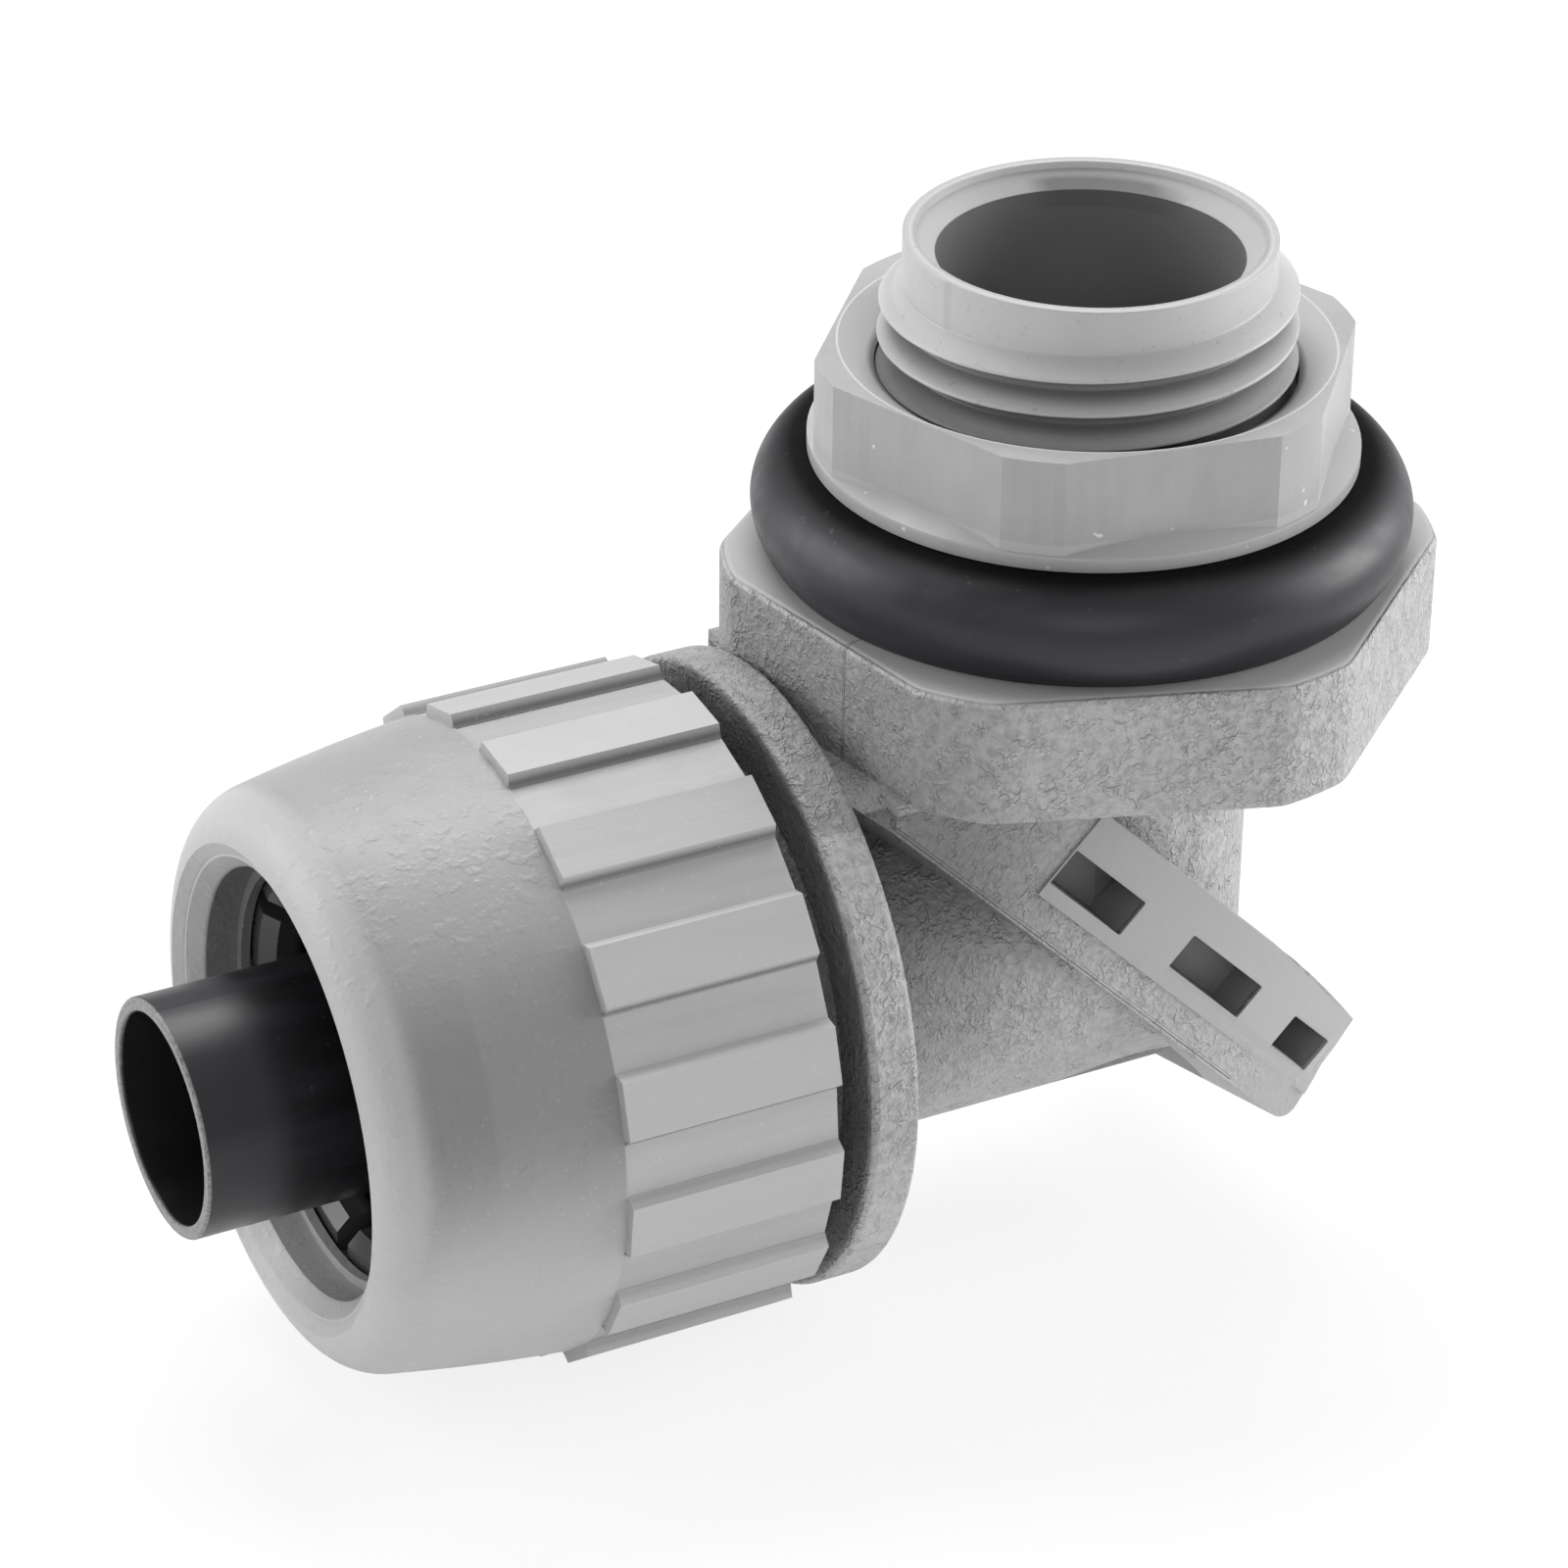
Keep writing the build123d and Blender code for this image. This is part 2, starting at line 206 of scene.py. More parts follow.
# Stage
FLOOR_HALF = 3.0
FLOOR_GAP = 0.0002
FLOOR_GLOW = 0.82
AIM = (-0.01, 0, -0.01)
LAMPS = (
    ("side_left", (-0.66, 0.50, 0.30), (0.5, 0.6), 4.4),
    ("side_right", (0.76, -0.18, 0.22), (0.5, 0.5), 6.2),
    ("top_back", (0.12, 0.42, 0.78), (0.7, 0.5), 8.2),
    ("fill_front", (-0.35, -0.80, 0.50), (0.5, 0.3), 1.3),
)
WORLD_STRENGTH = 0.385

# Camera fitted to the photograph
SENSOR_WIDTH = 36.0
FOCAL_PIXELS = 5868.0
PHOTO_PIXELS = 1600.0
CAMERA_PLACE = (-0.13466, -0.22402, 0.15547 - DROP)
CAMERA_RIGHT = (0.8876, -0.4604, 0.0096)
CAMERA_UP = (0.2219, 0.4457, 0.8672)
CAMERA_BACK = (-0.4036, -0.7677, 0.4978)


def make(name, bm):
    """An object in the scene that holds the faces of bm, which is freed."""
    mesh = bpy.data.meshes.new(name)
    bm.to_mesh(mesh)
    bm.free()
    obj = bpy.data.objects.new(name, mesh)
    bpy.context.scene.collection.objects.link(obj)
    return obj


def paint(obj, material):
    """One material on every face of obj."""
    if not obj.material_slots:
        obj.data.materials.append(material)
    for s in obj.material_slots:
        s.material = material


class Nodes:
    """Short calls for building one material's node tree."""

    def __init__(self, name):
        self.mat = bpy.data.materials.new(name)
        self.mat.use_nodes = True
        self.tree = self.mat.node_tree
        self.tree.nodes.clear()
        self.out = self.tree.nodes.new("ShaderNodeOutputMaterial")
        self.bsdf = self.tree.nodes.new("ShaderNodeBsdfPrincipled")
        self.link(self.bsdf.outputs["BSDF"], self.out.inputs["Surface"])
        self.coord = self.tree.nodes.new("ShaderNodeTexCoord").outputs["Object"]

    def link(self, a, b):
        self.tree.links.new(a, b)

    def noise(self, scale, detail, rough, stretch=None):
        n = self.tree.nodes.new("ShaderNodeTexNoise")
        n.inputs["Scale"].default_value = scale
        n.inputs["Detail"].default_value = detail
        n.inputs["Roughness"].default_value = rough
        source = self.coord
        if stretch:
            m = self.tree.nodes.new("ShaderNodeMapping")
            m.inputs["Scale"].default_value = stretch
            self.link(source, m.inputs["Vector"])
            source = m.outputs["Vector"]
        self.link(source, n.inputs["Vector"])
        return n.outputs["Fac"]

    def band(self, value, low, high, to_low=0.0, to_high=1.0, smooth=False):
        n = self.tree.nodes.new("ShaderNodeMapRange")
        n.clamp = True
        if smooth:
            n.interpolation_type = "SMOOTHSTEP"
        n.inputs["From Min"].default_value = low
        n.inputs["From Max"].default_value = high
        n.inputs["To Min"].default_value = to_low
        n.inputs["To Max"].default_value = to_high
        self.link(value, n.inputs["Value"])
        return n.outputs["Result"]

    def math(self, op, a, b=None):
        n = self.tree.nodes.new("ShaderNodeMath")
        n.operation = op
        for i, v in enumerate((a, b)):
            if v is None:
                continue
            if isinstance(v, (int, float)):
                n.inputs[i].default_value = v
            else:
                self.link(v, n.inputs[i])
        return n.outputs[0]

    def add(self, a, b):
        return self.math("ADD", a, b)

    def minus(self, a, b):
        return self.math("SUBTRACT", a, b)

    def times(self, a, b):
        return self.math("MULTIPLY", a, b)

    def absolute(self, a):
        return self.math("ABSOLUTE", a)

    def opposite(self, mask):
        return self.minus(1.0, mask)

    def mix(self, fac, a, b):
        n = self.tree.nodes.new("ShaderNodeMix")
        n.data_type = "RGBA"
        self.link(fac, n.inputs["Factor"])
        for socket, v in ((n.inputs[6], a), (n.inputs[7], b)):
            if isinstance(v, tuple):
                socket.default_value = (*v, 1.0)
            else:
                self.link(v, socket)
        return n.outputs[2]

    def tint(self, base, mask, share, colour):
        """The base with a share of the colour over it where the mask is 1."""
        return self.mix(self.times(mask, share), base, colour)

    def bump(self, height, strength, distance):
        n = self.tree.nodes.new("ShaderNodeBump")
        n.inputs["Strength"].default_value = strength
        n.inputs["Distance"].default_value = distance
        self.link(height, n.inputs["Height"])
        return n.outputs["Normal"]

    def axes(self):
        n = self.tree.nodes.new("ShaderNodeSeparateXYZ")
        self.link(self.coord, n.inputs["Vector"])
        return n.outputs["X"], n.outputs["Y"], n.outputs["Z"]

    def finish(self, colour, rough, normal, specular):
        """Joins what was built to the shader. The specular level is a number or a node's output."""
        self.link(colour, self.bsdf.inputs["Base Color"])
        self.link(rough, self.bsdf.inputs["Roughness"])
        self.link(normal, self.bsdf.inputs["Normal"])
        level = self.bsdf.inputs["Specular IOR Level"]
        if isinstance(specular, float):
            level.default_value = specular
        else:
            self.link(specular, level)
        return self.mat


class Places:
    """Masks over the shared frame: distances from the two axes, and where along them a point is."""

    def __init__(self, n):
        self.n = n
        self.x, self.y, self.z = n.axes()
        self.fit_z = n.add(self.z, DROP)
        self.side = n.absolute(self.y)
        self.hub_r = self.length(self.x, self.y)
        self.conduit_r = self.length(self.y, self.fit_z)

    def length(self, a, b):
        n = self.n
        return n.math("SQRT", n.add(n.times(a, a), n.times(b, b)))

    def above(self, value, edge, soft=0.00004):
        return self.n.band(value, edge - soft, edge + soft)

    def below(self, value, edge, soft=0.00004):
        return self.n.band(value, edge - soft, edge + soft, 1.0, 0.0)

    def between(self, value, low, high, soft=0.00004):
        return self.n.times(self.above(value, low, soft), self.below(value, high, soft))

    def all(self, *masks):
        out = masks[0]
        for m in masks[1:]:
            out = self.n.times(out, m)
        return out

    def any(self, *masks):
        out = masks[0]
        for m in masks[1:]:
            out = self.n.math("MAXIMUM", out, m)
        return out

    def mitre(self):
        """How far a point lies along the mitre plane, towards the heel, and across it."""
        n = self.n
        along = n.times(n.minus(self.x, self.fit_z), DIAGONAL)
        across = n.times(n.add(self.x, self.fit_z), DIAGONAL)
        return along, across


def cloud(n, scale, detail, high):
    """Slow change of tone over a moulded face."""
    return n.band(n.noise(scale, detail, 0.6), 0.3, high, smooth=True)


def polish(n, low, high):
    """Slow change of roughness over a moulded face."""
    return n.band(n.noise(260, 4.0, 0.6), 0.3, 0.7, low, high)


def worms(n, scale, width=0.10):
    """Short curling ridges, the look of a spark-eroded mould face."""
    bend = n.noise(scale, 2.2, 0.55)
    return n.band(n.absolute(n.minus(bend, 0.5)), 0.0, width, 1.0, 0.0, smooth=True)


def body_windows(p, along, across):
    """The three cored windows in each side of the rib."""
    slots = p.any(*(p.between(along, low, high) for low, high in WINDOWS_ALONG))
    inner, outer = WINDOW_SIDE
    return p.all(slots, p.between(across, *WINDOW_ACROSS), p.below(p.side, outer, 0.0002),
                 p.above(p.side, inner))


def parting_line(n, p):
    """Mould parting line down one flat of the flange."""
    off = n.add(n.times(p.x, PARTING_X), n.times(p.y, PARTING_Y))
    return p.all(p.below(n.absolute(off), PARTING_HALF, 0.00003), p.below(p.x, 0.0),
                 p.above(p.hub_r, PARTING_R), p.above(p.z, PARTING_LOW), p.above(p.x, COLLAR_BACK_X))


def body_shade(n, p, base, pads, windows):
    """Painted shade in the windows, both bores, the passage and the gap behind the nut, in the crotch, on
    the flange's left flats and inside the hub's bell.
    """
    # Painted shade inside the windows, both bores and the passage
    bore = p.all(p.below(p.hub_r, BORE_R, 0.00002), p.below(p.z, BORE_TOP))
    passage = p.all(p.below(p.conduit_r, PASSAGE_R), p.below(p.x, PASSAGE_END_X))
    hollow_shade = p.any(n.times(windows, 0.55), n.times(bore, 0.82), passage)
    base = n.tint(base, hollow_shade, 0.85, SHADE)
    # Painted shade in the gap behind the nut and on the collar's face
    gap = p.all(p.below(p.x, NECK_X), p.above(p.conduit_r, NECK_R))
    rim = n.band(p.conduit_r, *COLLAR_RIM_R, 1.0, 0.0)
    collar_face = p.all(p.below(p.x, COLLAR_FACE_X, 0.00002), rim)
    base = n.tint(base, p.any(gap, collar_face), 0.80, SHADE)
    # Painted shade in the crotch between the two barrels
    crotch = p.length(n.minus(p.x, CROTCH_X), n.minus(p.z, CROTCH_Z))
    under = p.all(p.below(p.z, CROTCH_TOP), p.above(p.x, CROTCH_LEFT_X), n.opposite(p.any(pads, windows)))
    dust_and_shade = n.times(n.band(crotch, *CROTCH_REACH, 1.0, 0.0, smooth=True), under)
    base = n.tint(base, dust_and_shade, 0.80, (0.105, 0.106, 0.108))
    # Painted shade on the flange's left flats
    left = p.all(n.band(p.x, *LEFT_FLATS_X, smooth=True), p.above(p.z, FLANGE_LOW),
                 p.below(p.z, LEFT_FLATS_TOP), p.above(p.hub_r, FLANGE_INNER_R))
    base = n.tint(base, left, 0.32, SHADE)
    # A soft patch of painted shade inside the far side of the hub's bell
    bell_shade = p.all(p.below(n.absolute(n.minus(p.x, BELL_SHADE_X)), BELL_SHADE_HALF, 0.0006), p.above(p.y, BELL_SHADE_Y),
                   p.between(p.hub_r, *BELL_SHADE_R, 0.00012), p.above(p.z, BELL_SHADE_LOW))
    return n.tint(base, bell_shade, 0.75, (0.13, 0.13, 0.13))


def body_material():
    """Elbow plastic: spark-eroded grain outside, smooth pads and hub, painted shade in the cores, gaps and
    crotch and on the pads, painted light on the underside.
    """
    n = Nodes("body_grain")
    p = Places(n)
    along, across = p.mitre()
    pads = p.all(p.above(p.side, PAD_SIDE), p.above(p.x, PAD_LEFT_X), p.below(p.z, FLANGE_LOW))
    hub = p.above(p.z, FLANGE_TOP)
    heel = n.band(along, *HEEL_SMOOTH, 0.0, 0.9, smooth=True)
    windows = body_windows(p, along, across)
    grained = n.opposite(p.any(pads, hub, heel, windows))
    # Grain, the parting line and the seam along the pads
    coarse = n.noise(1950, 3.0, 0.6)
    ridges = n.times(worms(n, 1700), n.band(n.noise(1000, 2.0, 0.5), 0.40, 0.62))
    fine = n.noise(5500, 2.0, 0.5)
    grain = n.add(n.add(n.times(coarse, 0.75), n.times(ridges, 0.5)), n.times(fine, 0.25))
    height = n.add(n.times(grain, grained), n.times(n.noise(1100, 3.0, 0.5), 0.10))
    height = n.add(height, n.times(parting_line(n, p), 1.2))
    seam = p.all(p.between(across, *SEAM_ACROSS, 0.00003), p.above(p.side, SEAM_SIDE),
                 p.below(along, SEAM_END), p.above(p.x, SEAM_LEFT_X), p.below(p.z, FLANGE_LOW))
    height = n.add(height, n.times(seam, 0.8))
    # Pale tops and dark pits of the grain
    base = n.mix(cloud(n, 150, 4.0, 0.7), (0.318, 0.320, 0.323), (0.362, 0.364, 0.367))
    base = n.tint(base, n.band(coarse, 0.44, 0.66), n.times(grained, 0.42), PALE)
    base = n.tint(base, n.band(coarse, 0.47, 0.30), n.times(grained, 0.34), (0.17, 0.17, 0.17))
    base = n.tint(base, ridges, n.times(grained, 0.45), PALE)
    # Smooth faces with painted shade on the pads towards the flange, and painted light making the underside
    # paler than the top
    pad_shade = n.mix(n.band(along, *PAD_SHADE_ALONG), (0.285, 0.287, 0.290), PALE)
    base = n.tint(base, p.any(pads, heel), 0.75, pad_shade)
    base = n.tint(base, hub, 0.6, (0.40, 0.402, 0.404))
    base = n.tint(base, seam, 0.5, PALE)
    # Painted light on the underside
    low = n.times(n.band(p.z, *UNDERSIDE_LIGHT_Z, smooth=True), grained)
    base = n.tint(base, low, 0.70, (0.55, 0.552, 0.554))
    base = body_shade(n, p, base, pads, windows)
    rough = n.band(fine, 0.3, 0.7, 0.46, 0.64)
    return n.finish(base, rough, n.bump(height, 1.0, 0.00024), 0.45)


def nut_painted_light(n, p, base, angle, dome):
    """Painted shade across the middle of the dome, painted light below it and a painted highlight at the
    nose.
    """
    # Painted shade in a band across the middle of the dome and beside the nose
    middle = n.band(n.absolute(n.minus(angle, DARK_BAND_ANGLE)), *DARK_BAND_HALF, 1.0, 0.0, smooth=True)
    beside_nose = p.all(p.between(p.x, NOSE_X, BESIDE_NOSE_X, 0.0007), dome)
    dark_band = p.all(middle, p.any(n.times(dome, 0.80), beside_nose), p.above(p.x, NOSE_X, 0.0004))
    base = n.tint(base, dark_band, 0.55, (0.12, 0.12, 0.122))
    # Painted light below the dome and a painted highlight at the nose
    low = p.all(n.band(p.fit_z, *DOME_LOW, smooth=True), dome)
    nose = p.all(p.below(p.x, NOSE_HIGHLIGHT_X, 0.0004), p.above(p.conduit_r, NOSE_INNER_R))
    return n.tint(base, p.any(low, n.times(nose, 0.75)), 0.70, (0.47, 0.472, 0.474))


def nut_mark(n, p, angle):
    """Small oval moulding mark on one land."""
    a = n.math("DIVIDE", n.minus(p.x, MARK_X), MARK_HALF_X)
    b = n.math("DIVIDE", n.minus(angle, MARK_ANGLE), MARK_HALF_ANGLE)
    return p.all(p.between(p.length(a, b), *MARK_LINE, 0.06), p.below(p.y, 0.0),
                 p.above(p.conduit_r, MARK_FOOT_R))


def nut_material():
    """Nut plastic: pale grips with painted shade along their edges, a matt dome with painted shade and
    light, painted shade in the mouth and a turned line round the nose.
    """
    n = Nodes("nut_satin")
    p = Places(n)
    in_grips = p.above(p.x, GRIPS_END_X)
    dome = n.opposite(in_grips)
    top = p.all(in_grips, p.above(p.conduit_r, GRIP_TOP_R, 0.00006))
    # Degrees about the conduit's axis, and degrees off the middle of the nearest grip
    angle = n.times(n.math("ARCTAN2", p.fit_z, n.times(p.y, -1.0)), 180 / math.pi)
    turn = n.math("FLOORED_MODULO", n.add(angle, 180 / GRIPS - GRIP_PHASE), 360 / GRIPS)
    off = n.minus(turn, 180 / GRIPS)
    low_edge = p.between(off, *GRIP_LOW_EDGE, 0.3)
    high_edge = p.between(off, *GRIP_HIGH_EDGE, 0.3)
    base = n.tint((0.310, 0.312, 0.315), cloud(n, 120, 5.0, 0.72), 0.6, (0.255, 0.257, 0.260))
    land_drag = n.band(n.noise(900, 4.0, 0.6, (0.08, 1.0, 1.0)), 0.35, 0.7)
    base = n.tint(base, in_grips, n.band(land_drag, 0.0, 1.0, 0.5, 0.8), (0.430, 0.432, 0.434))
    base = n.tint(base, top, 0.55, (0.435, 0.437, 0.439))
    # Painted shade along the grips' edges, stronger on their lower edges
    edges = p.all(in_grips, p.any(n.times(low_edge, 0.7), n.times(high_edge, 0.12)),
                  p.above(p.conduit_r, GRIP_FOOT_R))
    base = n.mix(edges, base, SHADE)
    line = p.all(p.between(p.conduit_r, *NOSE_LINE_R), p.below(p.x, NOSE_LINE_X))
    # Painted shade inside the mouth
    mouth = p.all(p.below(p.conduit_r, MOUTH_R), p.above(p.x, MOUTH_X))
    base = n.tint(base, line, 0.5, SHADE)
    base = n.tint(base, mouth, 0.42, SHADE)
    specks = n.band(n.noise(4200, 1.0, 0.4), 0.70, 0.75)
    base = n.tint(base, specks, 0.35, PALE)
    base = nut_painted_light(n, p, base, angle, dome)
    grain = n.add(n.times(n.noise(3400, 3.0, 0.6), n.band(dome, 0.0, 1.0, 0.25, 0.8)),
                  n.times(n.noise(800, 3.0, 0.5), 0.35))
    pebbles = n.times(n.band(n.noise(1250, 2.5, 0.55), 0.50, 0.72, smooth=True), dome)
    grain = n.add(grain, n.times(pebbles, 0.8))
    height = n.add(grain, n.times(n.times(land_drag, in_grips), 0.35))
    mark = nut_mark(n, p, angle)
    height = n.add(height, n.times(mark, 1.4))
    base = n.tint(base, mark, 0.3, (0.2, 0.2, 0.2))
    return n.finish(base, polish(n, 0.40, 0.52), n.bump(height, 1.0, 0.000030), 0.5)


def locknut_material():
    """Locknut plastic: faint upright drag marks on the flats, painted light on the dish and the ledges,
    painted shade deep beside the hub.
    """
    n = Nodes("locknut_satin")
    p = Places(n)
    base = n.tint((0.365, 0.367, 0.369), cloud(n, 140, 5.0, 0.72), 0.7, (0.285, 0.287, 0.290))
    drag = n.band(n.noise(1300, 4.0, 0.6, (1.0, 1.0, 0.10)), 0.35, 0.7)
    base = n.tint(base, drag, 0.25, (0.41, 0.41, 0.41))
    # Painted light on the dish round the hub
    dish = p.all(p.below(p.hub_r, DISH_R), p.above(p.z, DISH_LOW))
    base = n.tint(base, dish, 0.8, (0.56, 0.56, 0.56))
    # Painted shade deep beside the hub
    deep = p.below(p.hub_r, DEEP_R, 0.00015)
    base = n.tint(base, deep, 0.75, SHADE)
    # Painted light on the ledges under the flats
    ledge = p.all(p.between(p.z, *LEDGE_Z, 0.00005), p.above(p.hub_r, LEDGE_R, 0.0001))
    base = n.tint(base, ledge, 0.35, (0.47, 0.47, 0.47))
    nicks = n.band(n.noise(1500, 1.0, 0.3), 0.765, 0.785)
    base = n.tint(base, nicks, 0.7, (0.7, 0.7, 0.7))
    height = n.add(n.noise(850, 3.0, 0.5), n.times(n.noise(5200, 2.0, 0.5), 0.3))
    height = n.add(height, n.times(drag, 0.3))
    return n.finish(base, polish(n, 0.36, 0.50), n.bump(height, 1.0, 0.000018), 0.5)


def hub_material():
    """Hub plastic above the locknut: pale crests, painted shade low in the turns, below the top turns and in
    the bore.
    """
    n = Nodes("hub_satin")
    p = Places(n)
    base = n.tint((0.440, 0.442, 0.444), cloud(n, 140, 5.0, 0.72), 0.5, (0.375, 0.377, 0.380))
    specks = n.band(n.noise(2600, 2.0, 0.5), 0.66, 0.74)
    base = n.tint(base, specks, 0.4, (0.2, 0.2, 0.2))
    # Painted shade low in the turns
    turns = p.below(p.z, TURNS_TOP, 0.00025)
    root = n.times(n.band(p.hub_r, *ROOT_R, 1.0, 0.0, smooth=True), turns)
    base = n.tint(base, root, 0.80, (0.085, 0.085, 0.087))
    # Painted shade below the top turns, next to the locknut
    deep = n.band(p.z, *HUB_DEEP_Z, 1.0, 0.0, smooth=True)
    base = n.tint(base, deep, 0.85, (0.070, 0.070, 0.072))
    # Painted shade in the bore
    base = n.tint(base, p.below(p.hub_r, HUB_BORE_R), 0.2, SHADE)
    height = n.add(n.noise(900, 3.0, 0.5), n.times(n.noise(4600, 3.0, 0.55), 0.5))
    return n.finish(base, polish(n, 0.38, 0.52), n.bump(height, 1.0, 0.000020), 0.5)


def black_start(name, dust_and_shade):
    """Black plastic or rubber with fine lengthwise marks and a little pale dust."""
    n = Nodes(name)
    streak = n.band(n.noise(700, 4.0, 0.6, (0.12, 1.0, 1.0)), 0.35, 0.7, smooth=True)
    specks = n.band(n.noise(2300, 1.0, 0.3), 0.745, 0.775)
    base = n.tint(n.mix(streak, BLACK, BLACK_HIGH), specks, dust_and_shade, (0.16, 0.16, 0.165))
    return n, Places(n), streak, base


def black_rough(n, streak, low):
    return n.band(streak, 0.0, 1.0, low, low + 0.10)


def black_finish(n, streak, base, rough, shine=0.32):
    height = n.add(n.times(streak, 0.4), n.noise(1300, 3.0, 0.5))
    return n.finish(base, rough, n.bump(height, 0.8, 0.000006), shine)


def ferrule_material():
    """Ferrule: painted light greying the outside towards the tip, a pale ragged rim and a dark inside."""
    n, p, streak, base = black_start("ferrule_black", 0.15)
    # Painted light greys the outside towards the tip
    base = n.mix(p.below(p.x, TIP_OUTSIDE_X, 0.0007), base, (0.0270, 0.0272, 0.0310))
    rag = n.band(n.noise(5200, 3.0, 0.6), 0.35, 0.65, 0.40, 1.0)
    base = n.tint(base, p.below(p.x, TIP_X, 0.00003), rag, (0.240, 0.240, 0.240))
    base = n.mix(p.below(p.conduit_r, TIP_INSIDE_R), base, (0.012, 0.012, 0.013))
    return black_finish(n, streak, base, black_rough(n, streak, 0.30))


def ring_material():
    """Grip ring: finger tips a little greyer than the rest."""
    n, p, streak, base = black_start("ring_black", 0.1)
    base = n.mix(p.below(p.x, FINGERS_X, 0.0003), base, (0.060, 0.060, 0.064))
    return black_finish(n, streak, base, black_rough(n, streak, 0.20))


def seal_material():
    """Sealing ring: painted light greying the outside, a painted highlight along the lip on the flange,
    painted shade and a matt finish on top.
    """
    n, p, streak, base = black_start("seal_rubber", 0.35)
    # Painted highlight along the lip on the flange
    lip = p.all(p.between(p.z, *SEAL_LIP_Z, 0.00008), p.above(p.hub_r, SEAL_LIP_R))
    base = n.tint(base, lip, 0.7, (0.075, 0.075, 0.080))
    # Painted light greys the outer side
    outer = n.band(p.hub_r, *SEAL_OUTER_R, smooth=True)
    base = n.tint(base, outer, 0.8, (0.020, 0.020, 0.026))
    # Painted shade on top, under the locknut
    top = n.band(p.hub_r, *SEAL_TOP_R, smooth=True)
    base = n.tint(base, top, 0.9, (0.0020, 0.0020, 0.0028))
    rough = n.add(black_rough(n, streak, 0.40), n.times(top, 0.30))
    shine = n.band(p.hub_r, *SEAL_TOP_R, 0.45, 0.07, smooth=True)
    return black_finish(n, streak, base, rough, shine)


def smoothstep(low, high, value):
    t = max(0.0, min(1.0, (value - low) / (high - low)))
    return t * t * (3 - 2 * t)


def thread_radius(a, z):
    """Radius of the hub's outer skin at angle a and height z: tapered turns that run out at the top."""
    crest = FRONT_CREST + PITCH * ((a - FRONT_ANGLE) / (2 * math.pi))
    turn = crest + PITCH * round((z - crest) / PITCH)
    above = z - turn
    reach = TOP_CREST_R + (HUB_TOP - turn) * TAPER - CORE_R
    fade = 1.0 - smoothstep(THREAD_END, THREAD_END + THREAD_FADE, turn)
    upper = 1.0 - max(0.0, above - CREST_HALF) / UPPER_FLANK
    lower = 1.0 - max(0.0, -above - CREST_HALF) / LOWER_FLANK
    flank = max(0.0, min(1.0, upper if above > 0 else lower))
    return CORE_R + SKIN + reach * flank * fade


def lead_in_step(a, z):
    """How far the lead-in stands proud at angle a and height z, past the parting line."""
    past = (STEP_ANGLE - a) % (2 * math.pi)
    if z <= STEP_Z[0] or past >= STEP_REACH:
        return 0.0
    return STEP_PROUD * (1.0 - past / STEP_REACH) * smoothstep(*STEP_Z, z)


def ring_of(bm, z, radius_at):
    """One ring of corners at height z, at the radius that radius_at gives for each angle."""
    ring = []
    for i in range(THREAD_AROUND):
        a = 2 * math.pi * i / THREAD_AROUND
        r = radius_at(a, z)
        ring.append(bm.verts.new((r * math.cos(a), r * math.sin(a), z)))
    return ring


def hub_thread():
    """Outer skin of the hub above the locknut: right-hand turns, the runout and the plain lead-in."""
    bm = bmesh.new()
    rings = []
    for j in range(THREAD_LEVELS + 1):
        z = THREAD_LOW + (HUB_TOP - THREAD_LOW) * j / THREAD_LEVELS
        rings.append(ring_of(bm, z, lambda a, z: thread_radius(a, z) + lead_in_step(a, z)))
    cap_low = ring_of(bm, THREAD_LOW, lambda a, z: CORE_R - THREAD_WALL)
    cap_high = ring_of(bm, HUB_TOP - CAP_DROP, lambda a, z: CORE_R - THREAD_WALL)
    rings = [cap_low] + rings + [cap_high, cap_low]
    for lower, upper in zip(rings, rings[1:]):
        for i in range(THREAD_AROUND):
            k = (i + 1) % THREAD_AROUND
            bm.faces.new((lower[i], lower[k], upper[k], upper[i]))
    bmesh.ops.recalc_face_normals(bm, faces=bm.faces)
    obj = make("hub_thread", bm)
    for f in obj.data.polygons:
        f.use_smooth = True
    return obj


def heel_reach(across):
    """How far the heel reaches along the mitre plane at a place across it."""
    return HEEL_END - max(0.0, across - HEEL_KNEE) / HEEL_LEAN


def heel_line(y):
    """Outline of the heel at side y, as places along the mitre plane and across it."""
    low = HEEL_LOW + HEEL_DRAFT * abs(y)
    foot = low + HEEL_CORNER
    end = heel_reach(foot)
    line = [(HEEL_START, low), (HEEL_FLAT_END, low)]
    for k in range(HEEL_CORNER_STEPS + 1):
        t = math.pi / 2 * k / HEEL_CORNER_STEPS
        line.append((end - HEEL_CORNER + HEEL_CORNER * math.sin(t), foot - HEEL_CORNER * math.cos(t)))
    knee = max(HEEL_KNEE, foot + HEEL_KNEE_GAP)
    line.append((heel_reach(knee), knee))
    line.append((heel_reach(HEEL_TOP), HEEL_TOP))
    line.append((HEEL_START, HEEL_TOP))
    return line


def heel_end():
    """Lower end of the mitre rib: drafted underside with a rounded lower corner at the heel."""
    bm = bmesh.new()
    rings = []
    for i in range(HEEL_SLICES + 1):
        y = -HEEL_HALF + 2 * HEEL_HALF * i / HEEL_SLICES
        ring = []
        for along, across in heel_line(y):
            x = (along + across) * DIAGONAL
            z = (across - along) * DIAGONAL - DROP
            ring.append(bm.verts.new((x, y, z)))
        rings.append(ring)
    count = len(rings[0])
    for a, b in zip(rings, rings[1:]):
        for k in range(count):
            m = (k + 1) % count
            bm.faces.new((a[k], a[m], b[m], b[k]))
    bm.faces.new(rings[0])
    bm.faces.new(list(reversed(rings[-1])))
    bmesh.ops.recalc_face_normals(bm, faces=bm.faces)
    return make("heel_end", bm)


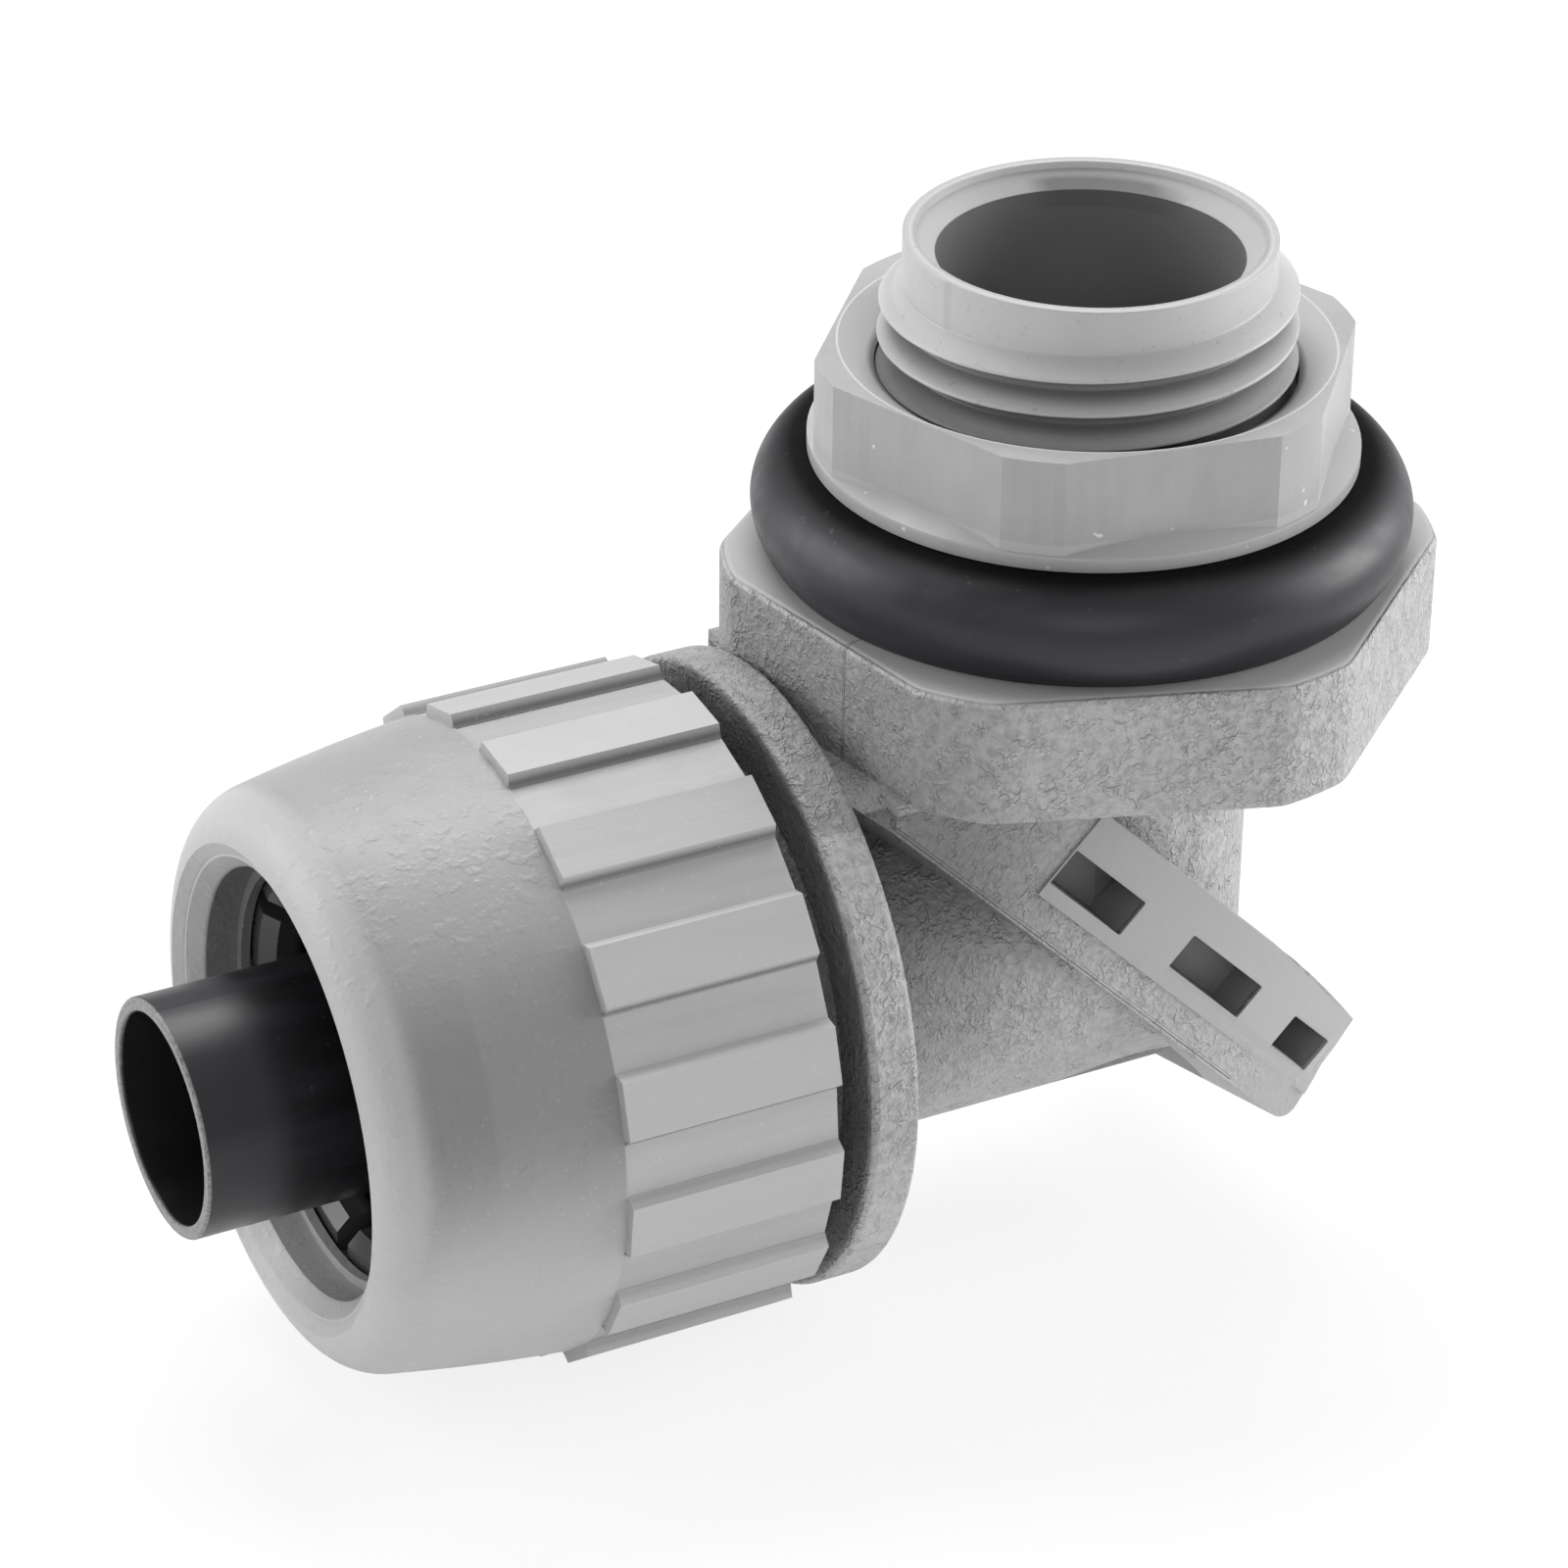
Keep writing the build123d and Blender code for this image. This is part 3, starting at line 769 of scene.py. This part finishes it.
def floor_material():
    """White floor: mostly glow where the camera or a reflection sees it, so that its shadow stays soft."""
    mat = bpy.data.materials.new("floor_white")
    mat.use_nodes = True
    t = mat.node_tree
    t.nodes.clear()
    out = t.nodes.new("ShaderNodeOutputMaterial")
    mix = t.nodes.new("ShaderNodeMixShader")
    path = t.nodes.new("ShaderNodeLightPath")
    diffuse = t.nodes.new("ShaderNodeBsdfDiffuse")
    diffuse.inputs["Color"].default_value = (0.92, 0.92, 0.92, 1)
    white = t.nodes.new("ShaderNodeEmission")
    white.inputs["Color"].default_value = (1, 1, 1, 1)
    white.inputs["Strength"].default_value = 1.0
    seen = t.nodes.new("ShaderNodeMath")
    seen.operation = "MAXIMUM"
    t.links.new(path.outputs["Is Camera Ray"], seen.inputs[0])
    t.links.new(path.outputs["Is Glossy Ray"], seen.inputs[1])
    share = t.nodes.new("ShaderNodeMath")
    share.operation = "MULTIPLY"
    share.inputs[1].default_value = FLOOR_GLOW
    t.links.new(seen.outputs[0], share.inputs[0])
    t.links.new(share.outputs[0], mix.inputs["Fac"])
    t.links.new(diffuse.outputs["BSDF"], mix.inputs[1])
    t.links.new(white.outputs["Emission"], mix.inputs[2])
    t.links.new(mix.outputs["Shader"], out.inputs["Surface"])
    return mat


def floor():
    """Floor a hair below the lowest point of the object."""
    bm = bmesh.new()
    for x, y in ((-1, -1), (1, -1), (1, 1), (-1, 1)):
        bm.verts.new((x * FLOOR_HALF, y * FLOOR_HALF, 0))
    bm.faces.new(bm.verts)
    obj = make("floor", bm)
    obj.location.z = cad_box[0][2] - FLOOR_GAP
    obj.data.materials.append(floor_material())
    return obj


def lamp(name, place, size, power):
    """Rectangular lamp at place that shines on the object."""
    data = bpy.data.lights.new(name, "AREA")
    data.shape = "RECTANGLE"
    data.size, data.size_y = size
    data.energy = power
    obj = bpy.data.objects.new(name, data)
    bpy.context.scene.collection.objects.link(obj)
    obj.location = place
    obj.rotation_euler = (Vector(AIM) - Vector(place)).to_track_quat("-Z", "Y").to_euler()
    return obj


def world():
    w = bpy.data.worlds.new("studio")
    w.use_nodes = True
    background = w.node_tree.nodes["Background"]
    background.inputs["Color"].default_value = (1, 1, 1, 1)
    background.inputs["Strength"].default_value = WORLD_STRENGTH
    return w


def camera():
    """Camera where the photograph was taken from."""
    data = bpy.data.cameras.new("photo_camera")
    data.sensor_width = SENSOR_WIDTH
    data.lens = FOCAL_PIXELS / PHOTO_PIXELS * SENSOR_WIDTH
    data.clip_start = 0.01
    obj = bpy.data.objects.new("photo_camera", data)
    bpy.context.scene.collection.objects.link(obj)
    turn = Matrix((CAMERA_RIGHT, CAMERA_UP, CAMERA_BACK)).transposed().to_4x4()
    obj.matrix_world = Matrix.Translation(CAMERA_PLACE) @ turn
    return obj


body_plastic = body_material()
paint(nodes["elbow_body"], body_plastic)
paint(nodes["conduit_nut"], nut_material())
paint(nodes["locknut"], locknut_material())
paint(nodes["ferrule"], ferrule_material())
paint(nodes["grip_ring"], ring_material())
paint(nodes["sealing_ring"], seal_material())

for obj, material in ((hub_thread(), hub_material()), (heel_end(), body_plastic)):
    paint(obj, material)
    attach(obj, "body")

floor()
for name, place, size, power in LAMPS:
    lamp(name, place, size, power)
bpy.context.scene.world = world()
bpy.context.scene.camera = camera()
bpy.context.scene.view_settings.view_transform = "Standard"
